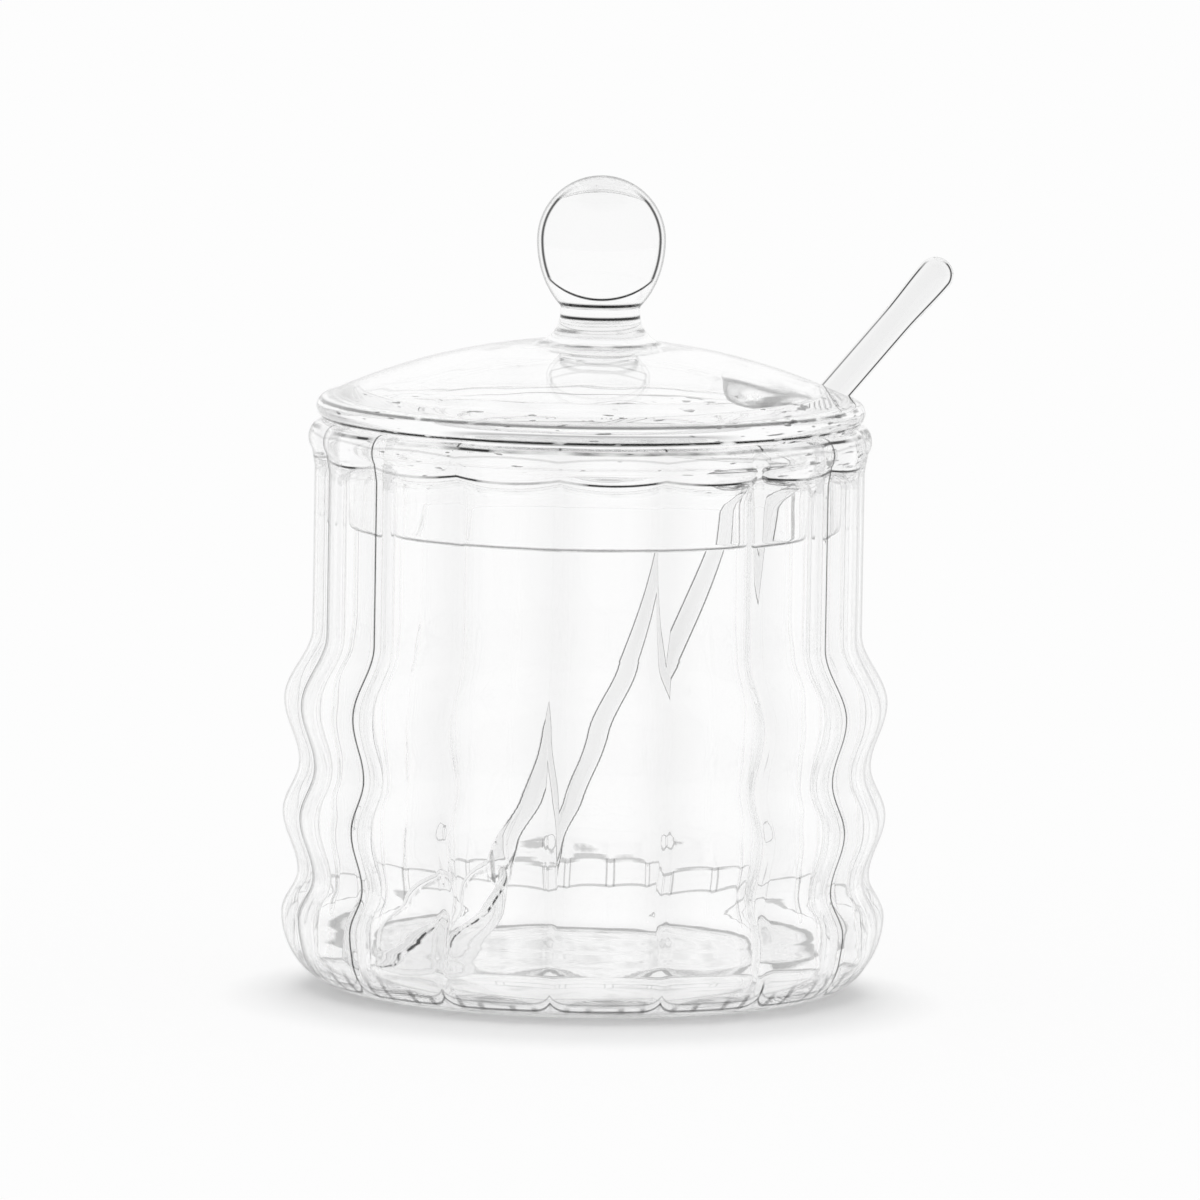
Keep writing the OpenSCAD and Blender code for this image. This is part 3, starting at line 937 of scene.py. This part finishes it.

# %% [markdown]
# The lid was worked in the flame, so its surface is fire-polished and a little uneven. Painted dark lines,
# for the dark that thick glass bends to the eye, run along its round edge, at the foot of its tube and round
# the neck, where that was melted on. Towards the spoon a noise breaks the edge lines in places, and short
# painted dashes lie under them. The plate round the neck keeps low ridges.

# %% Glass of the lid: edge, tube and neck
# Painted shade where the lid is seen nearly edge-on
LID_EDGE_SHADE = ((0.885, "#ffffff"), (0.935, "#8c8c8c"), (1.0, "#161616"))
LID_WAVES = (14.0, 1.0, 0.06)
NOT_UNDER = (-0.5, -0.2)
EDGE_OUT = (edge_x, edge_x + 0.3)
EDGE_HIGH_Z = edge_z + 1.3
EDGE_HIGH_LINE = (0.32, 0.9)
EDGE_LOW_Z = edge_z - 1.25
EDGE_LOW_LINE = (0.36, 1.0)
EDGE_NOISE_MM = 4.0
EDGE_NOISE_SQUEEZE = 3.0
EDGE_NOISE_TO_SPOON = -0.2
EDGE_NOISE_ENDS = (0.26, 0.36)
EDGE_DASH_TO_SPOON = 0.08
EDGE_DASH_ENDS = (0.68, 0.71)
EDGE_DASH_OUT = (36.0, 38.0)
EDGE_DASH_UP = (POT_H - 0.2, POT_H + 0.4)
EDGE_DASH_DARK = 0.9
TUBE_OUT = (skirt_out - 0.6, skirt_out - 0.3)
TUBE_FOOT_Z = SKIRT_LOW + 0.4
TUBE_FOOT_LINE = (0.28, 0.85)
NECK_LINE_Z = neck_low[1] - 0.5
NECK_LINE = (0.42, 1.0)
FLARE_Z = knob_z + 2.4
FLARE_LINE = (0.4, 0.8)
FLARE_FOOT_Z = knob_z + 0.4
FLARE_FOOT_LINE = (0.25, 0.8)
FLARE_BREAK_MM = 5.0
FLARE_BREAK_ENDS = (0.40, 0.55)
BY_NECK_IN = (19.0, 13.0)
BY_NECK_UP = (dome_z + DOME_R - 2.0, knob_z)
RIDGE_MM = 8.0
RIDGE_SQUEEZE = 2.0
RIDGE_STRENGTH = 3.5

melt = start_glass("borosilicate_flame_worked")
lid_glass = melt.glass
tree = melt.tree
melt.slant = share_of(tree, melt.facing, (melt.lean, *NOT_UNDER))
# Where the painted edge lines break: a noise, with more breaks towards the spoon
edge_line_noise = towards_spoon(melt, flow_and_line_noise(tree, melt.place, EDGE_NOISE_MM, EDGE_NOISE_SQUEEZE), EDGE_NOISE_TO_SPOON)
on_edge = share_of(tree, melt.front, (melt.reach, *EDGE_OUT), (edge_line_noise, *EDGE_NOISE_ENDS))
on_tube = share_of(tree, melt.front, (melt.reach, *TUBE_OUT))
dashes = towards_spoon(melt, flow_and_line_noise(tree, melt.place, DASH_MM, DASH_SQUEEZE), EDGE_DASH_TO_SPOON)
under_edge = share_of(tree, melt.front, (melt.reach, *EDGE_DASH_OUT), (melt.height, *EDGE_DASH_UP))
by_neck = share_of(tree, (melt.reach, *BY_NECK_IN), (melt.height, *BY_NECK_UP))
flare_broken = share_of(tree, melt.front, (flow_and_line_noise(tree, melt.place, FLARE_BREAK_MM), *FLARE_BREAK_ENDS))
ridge_marks = flow_and_line_noise(tree, melt.place, RIDGE_MM, RIDGE_SQUEEZE, 0.0)
melt_ridges = share_of(tree, ridge_marks, by_neck, RIDGE_STRENGTH)
lid_lines = [
    drawn_line(tree, melt.height, EDGE_HIGH_Z, EDGE_HIGH_LINE, on_edge),
    drawn_line(tree, melt.height, EDGE_LOW_Z, EDGE_LOW_LINE, on_edge),
    share_of(tree, under_edge, (dashes, *EDGE_DASH_ENDS), EDGE_DASH_DARK),
    drawn_line(tree, melt.height, TUBE_FOOT_Z, TUBE_FOOT_LINE, on_tube),
    drawn_line(tree, melt.height, NECK_LINE_Z, NECK_LINE, melt.front),
    drawn_line(tree, melt.height, FLARE_Z, FLARE_LINE, flare_broken),
    drawn_line(tree, melt.height, FLARE_FOOT_Z, FLARE_FOOT_LINE, flare_broken, by_neck),
]
print("lines on the edge, tube and neck:", len(lid_lines))

# %% [markdown]
# The gather is thick glass, which bends the dark of a studio to the eye. So it is painted dark where it turns
# away from the eye and along its own edge, and painted with a smoky shade towards the slot. The attribute
# that was noted on the mesh says how deep in the gather a point lies.

# %% Glass of the lid: gather
GATHER_ENDS = (0.03, 0.1)
GATHER_EDGE = (0.32, 0.2)
GATHER_TURN = (0.4, 0.65)
GATHER_TURN_DARK = 0.97
GATHER_SHADE_MM = 4.0
GATHER_SHADE_SQUEEZE = 2.5
GATHER_SHADE_ENDS = (0.42, 0.56)
GATHER_SHADE_ALONG = (19.0, 27.0)
GATHER_SHADE_DARK = 0.98

depth = add_node(tree, "Attribute", attribute_name="gathered").outputs["Fac"]
on_gather = share_of(tree, melt.front, (depth, *GATHER_ENDS))
# Patches of painted shade in the gather
gather_shade_noise = flow_and_line_noise(tree, melt.place, GATHER_SHADE_MM, GATHER_SHADE_SQUEEZE, 1.0)
lid_lines += [
    share_of(tree, on_gather, (gather_shade_noise, *GATHER_SHADE_ENDS), (melt.across_x, *GATHER_SHADE_ALONG), GATHER_SHADE_DARK),
    share_of(tree, on_gather, (depth, *GATHER_EDGE)),
    share_of(tree, on_gather, (melt.facing, *GATHER_TURN), GATHER_TURN_DARK),
]
finish_glass(melt, LID_EDGE_SHADE, lid_lines, *LID_WAVES, melt_ridges)

# %% [markdown]
# Solid glass is a strong lens, and its outline is doubled: a dark ring runs inside the edge, with a bright
# one between. A ramp over how far the face turns from the eye draws this ring as painted shade on the
# upright sides of the ball. A lower painted arc of it hangs across the ball, and one more painted dark line
# lies where the neck was melted on.

# %% Glass of the ball
# Painted shade where the solid glass is seen nearly edge-on
KNOB_EDGE_SHADE = ((0.70, "#ffffff"), (0.80, "#7a7a7a"), (1.0, "#222222"))
KNOB_WAVES = (14.0, 1.0, 0.02)
BALL_RING = (
    (0.05, "#000000"), (0.53, "#303030"), (0.57, "#ffffff"), (0.63, "#ffffff"), (0.68, "#000000"))
RING_UPRIGHT = (0.85, 0.65)
BALL_UP = (ball_z - 6.8, ball_z - 5.6)
BALL_ARC_RISE = 7.4
BALL_ARC_Z = ball_z - 10.4
BALL_ARC_LINE = (0.45, 1.0)
BALL_ARC_TURN = (0.66, 0.60)
MELTED_ON_Z = neck_top[1] + 0.5
MELTED_ON_LINE = (0.5, 1.0)


def contour(melt, stops):
    """Painted dark ring inside the upright sides of solid glass, for the dark that it bends to the eye."""
    ring = add_node(melt.tree, "ValToRGB", {"Fac": melt.facing})
    paint_ramp(ring.color_ramp, stops)
    return share_of(melt.tree, ring.outputs["Color"], (melt.lying, *RING_UPRIGHT))


melt = start_glass("borosilicate_solid_drop")
knob_glass = melt.glass
tree = melt.tree
sag = add_node(tree, "Math", {0: melt.facing, 1: -BALL_ARC_RISE, 2: melt.height}, operation="MULTIPLY_ADD")
in_ball = share_of(tree, melt.front, (melt.facing, *BALL_ARC_TURN))
knob_lines = [
    share_of(tree, contour(melt, BALL_RING), (melt.height, *BALL_UP)),
    drawn_line(tree, sag.outputs["Value"], BALL_ARC_Z, BALL_ARC_LINE, in_ball),
    drawn_line(tree, melt.height, MELTED_ON_Z, MELTED_ON_LINE, melt.front),
]
finish_glass(melt, KNOB_EDGE_SHADE, knob_lines, *KNOB_WAVES)

# %% [markdown]
# The spoon's rod was drawn from hot glass, which makes it even and smooth. It is solid too, so it has the
# doubled outline of the ball, painted as two dark stripes along it. The bowl is thin, so only its rim is
# painted dark: a dotted line broken by a noise, stronger on the side towards the eye.

# %% Glass of the spoon
SPOON_WAVES = (8.0, 3.0, 0.01)
ROD_RING = (
    (0.02, "#606060"), (0.14, "#5c5c5c"), (0.28, "#2c2c2c"), (0.40, "#303030"),
    (0.46, "#ffffff"), (0.58, "#ffffff"), (0.64, "#202020"))
ROD_FROM_BOWL = (BOWL_R + 1.0, BOWL_R + 3.0)
BOWL_RIM_LINE = (0.36, 1.0)
DOT_MM = 1.2
DOT_ENDS = (0.36, 0.5)
NEAR_SIDE = (4.0, -4.0)
FAR_DARK = 0.4

melt = start_glass("borosilicate_drawn_rod")
spoon_glass = melt.glass
tree = melt.tree
bowl_axis = Matrix.Rotation(math.radians(-BOWL_SLOPE), 3, "Y") @ Vector((0, 0, 1))
rim_level = bowl_axis.x * BOWL_AT[0] + bowl_axis.z * BOWL_AT[1] - BOWL_RISE
bowl_middle = (BOWL_AT[0], 0, BOWL_AT[1])
along_axis = add_node(tree, "VectorMath", {0: melt.in_mm, 1: bowl_axis}, operation="DOT_PRODUCT")
from_bowl = add_node(tree, "VectorMath", {0: melt.in_mm, 1: bowl_middle}, operation="DISTANCE")
near = share_of(tree, (melt.across_y, *NEAR_SIDE))
stronger = add_node(tree, "Math", {0: near, 1: 1 - FAR_DARK, 2: FAR_DARK}, operation="MULTIPLY_ADD")
dotted = share_of(
    tree, melt.front, stronger.outputs["Value"], (flow_and_line_noise(tree, melt.place, DOT_MM), *DOT_ENDS))
spoon_lines = [
    share_of(tree, contour(melt, ROD_RING), (from_bowl.outputs["Value"], *ROD_FROM_BOWL)),
    drawn_line(tree, along_axis.outputs["Value"], rim_level, BOWL_RIM_LINE, dotted),
]
finish_glass(melt, WALL_EDGE_SHADE, spoon_lines, *SPOON_WAVES)

# %% [markdown]
# Each piece now gets its glass, rides with its body and takes the place of its solids. The lid has a second
# glass from the top of the neck up, because the ball there is solid.

# %% Put the glass on the pieces
for piece, glass, body, slot in (
        (pot, pot_glass, "pot", "pot_glass"),
        (lid, lid_glass, "lid", "lid_glass"),
        (spoon, spoon_glass, "spoon", "spoon_glass")):
    piece.data.materials.clear()
    piece.data.materials.append(glass)
    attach(piece, body)
lid.data.materials.append(knob_glass)
for face in lid.data.polygons:
    face.material_index = int(face.center.z > neck_top[1] * MM)
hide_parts("pot")
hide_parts("lid_dome", "lid_skirt", "lid_knob")
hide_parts("spoon_rod", "spoon_bowl")
print("glass on", pot.name, lid.name, spoon.name)

# %% [markdown]
# A catalogue table is a matt white sheet of paper in soft light from all round. It lies a hair below the
# foot, so that it doesn't share a plane with the glass. Only the shade close under the pot is kept: away
# from it the camera sees the bare sheet, and through glass the sheet gives mostly its own white, as lit
# paper does.

# %% Table
TABLE_COLOUR = "#fdfdfd"
TABLE_M = 14
TABLE_DROP_MM = 0.3
LIT_SHARE = 0.7
OPEN_SHARE = 0.9
# The middle of the shade and where it begins and ends to fade, in metres
SHADE_AT = (0, -0.015, 0)
SHADE_ENDS = (0.044, 0.057)

bpy.ops.object.select_all(action="DESELECT")
bpy.ops.mesh.primitive_plane_add(size=TABLE_M, location=(0, 0, -TABLE_DROP_MM * MM))
table = bpy.context.object
table.name = "table"
paper = bpy.data.materials.new("white_paper_matt")
paper.use_nodes = True
tree = paper.node_tree
tree.nodes.clear()
sheet = add_node(tree, "BsdfDiffuse", {"Color": linear(TABLE_COLOUR)})
lit = add_node(tree, "Emission", {"Color": linear(TABLE_COLOUR), "Strength": 1.0})
ray = add_node(tree, "LightPath")
spot = add_node(tree, "TexCoord").outputs["Object"]
from_shade = add_node(tree, "VectorMath", {0: spot, 1: turn @ Vector(SHADE_AT)}, operation="DISTANCE")
bare = share_of(tree, ray.outputs["Is Camera Ray"], (from_shade.outputs["Value"], *SHADE_ENDS), OPEN_SHARE)
share = add_node(
    tree, "Math", {0: ray.outputs["Is Transmission Ray"], 1: LIT_SHARE, 2: bare}, operation="MULTIPLY_ADD")
both = add_node(tree, "MixShader", {
    0: share.outputs["Value"], 1: sheet.outputs["BSDF"], 2: lit.outputs["Emission"]})
add_node(tree, "OutputMaterial", {"Surface": both.outputs["Shader"]})
table.data.materials.append(paper)
print("table", TABLE_M, "m wide,", TABLE_DROP_MM, "mm under the foot")

# %% [markdown]
# The room is white for the camera and for the light on the table. Rays that have gone through glass or
# bounced off it see a studio instead: white walls up to some 53 degrees and a dimmer ceiling above, which
# greys the tops of round edges. Light crosses many faces of glass here, so its rays may bounce often. With
# fewer bounces black wedges would show. The Standard view keeps white paper white.

# %% Light
STUDIO = ((0.80, "#ffffff"), (0.90, "#c0c0c0"), (1.0, "#b0b0b0"))
ROOM_COLOUR = "#ffffff"
BOUNCES = 96
GLOSSY_BOUNCES = 48

world = bpy.data.worlds.new("white_studio")
scene = bpy.context.scene
scene.world = world
world.use_nodes = True
tree = world.node_tree
tree.nodes.clear()
aim_at = add_node(tree, "TexCoord")
parts = add_node(tree, "SeparateXYZ", {"Vector": aim_at.outputs["Generated"]})
walls = add_node(tree, "ValToRGB", {"Fac": parts.outputs["Z"]})
paint_ramp(walls.color_ramp, STUDIO)
ray = add_node(tree, "LightPath")
bent = add_node(
    tree, "Math", {0: ray.outputs["Is Glossy Ray"], 1: ray.outputs["Is Transmission Ray"]},
    operation="MAXIMUM")
seen = add_node(tree, "MixRGB", {
    "Fac": bent.outputs["Value"], "Color1": linear(ROOM_COLOUR), "Color2": walls.outputs["Color"]})
glow = add_node(tree, "Background", {"Color": seen.outputs["Color"], "Strength": 1.0})
add_node(tree, "OutputWorld", {"Surface": glow.outputs["Background"]})
scene.view_settings.view_transform = "Standard"
scene.cycles.max_bounces = BOUNCES
scene.cycles.transmission_bounces = BOUNCES
scene.cycles.glossy_bounces = GLOSSY_BOUNCES
scene.cycles.transparent_max_bounces = GLOSSY_BOUNCES
print("world:", world.name)
